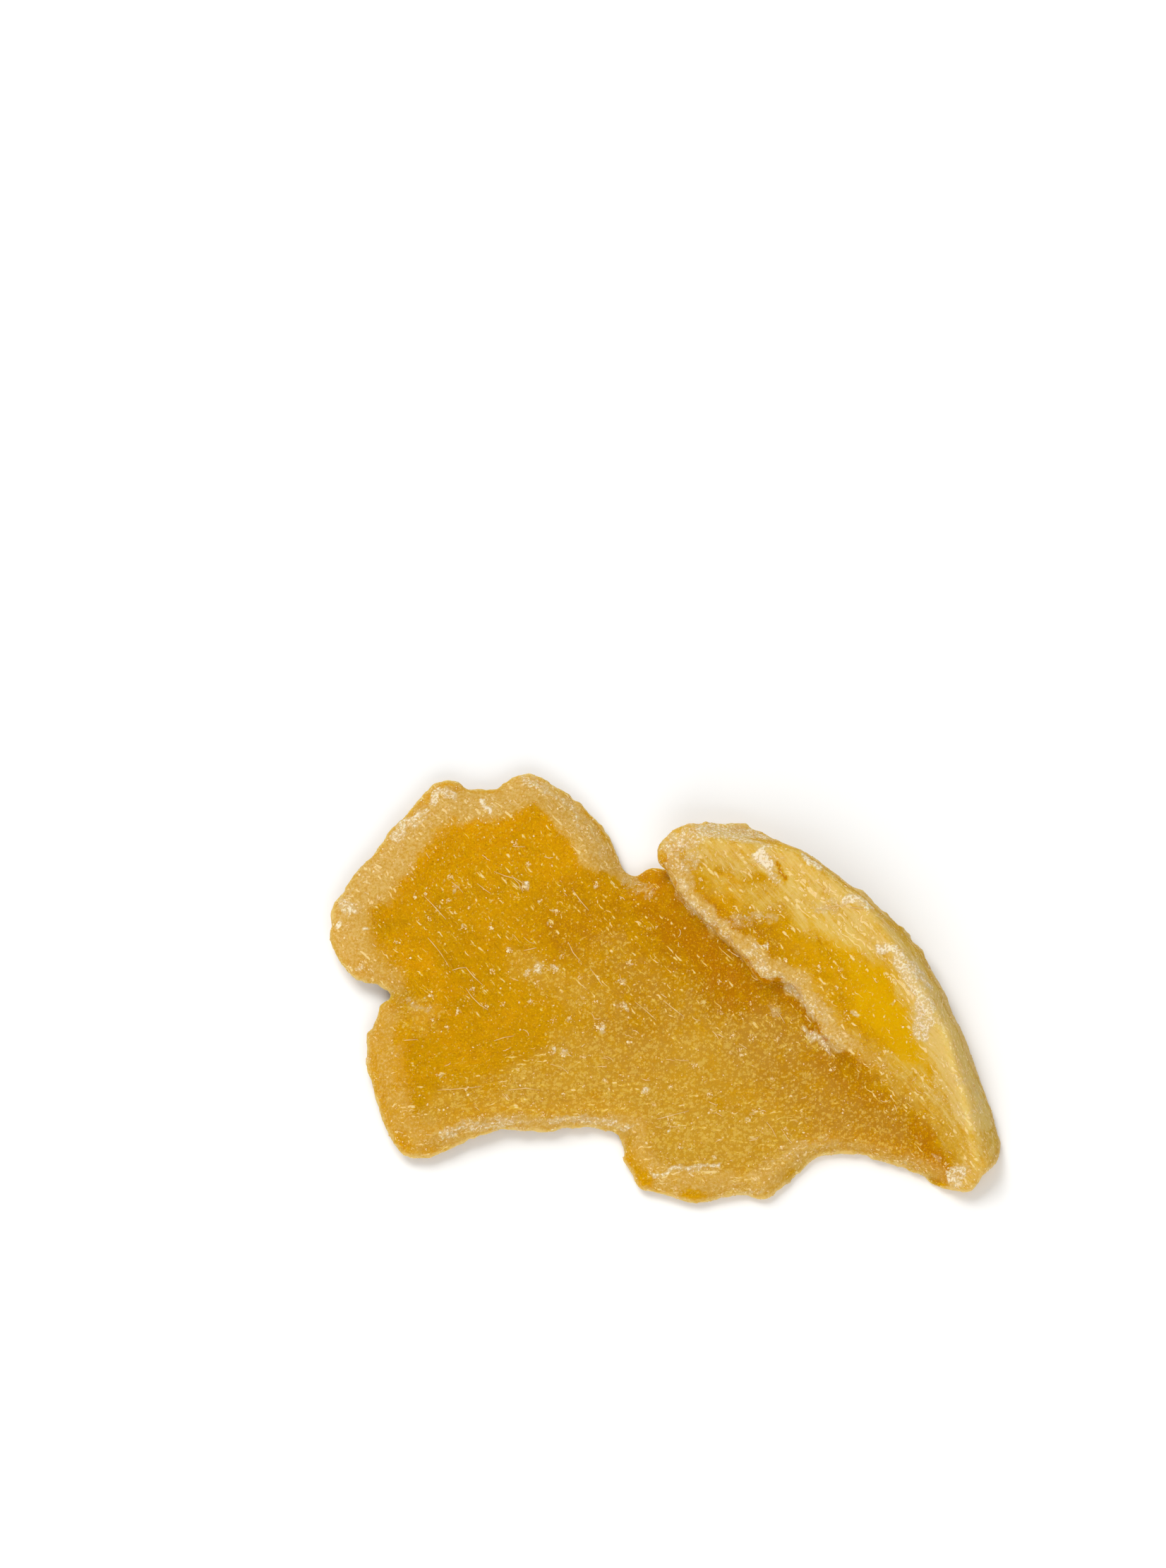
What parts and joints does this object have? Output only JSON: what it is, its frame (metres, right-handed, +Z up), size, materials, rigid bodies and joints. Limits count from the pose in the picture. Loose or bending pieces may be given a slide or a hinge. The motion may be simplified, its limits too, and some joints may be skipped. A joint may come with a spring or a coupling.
{
  "type": "dried ginger slice",
  "caption": "Dried, sugared slice of ginger root: a thin lobed body with a slanted rim, and a finger that curls up over its edge.",
  "frame": {"origin": "middle of the bounding box in plan, on the table that the slice lies on", "axes": "+X along the slice towards the finger's root, +Y towards the top of the picture, +Z up, away from the table"},
  "size_m": [0.0852, 0.0558, 0.0107],
  "materials": {
    "sugared_flesh": "amber translucent flesh with a dull whitish sugar bloom"
  },
  "bodies": {
    "root": {"ginger_slice": "sugared_flesh"}
  },
  "joints": []
}
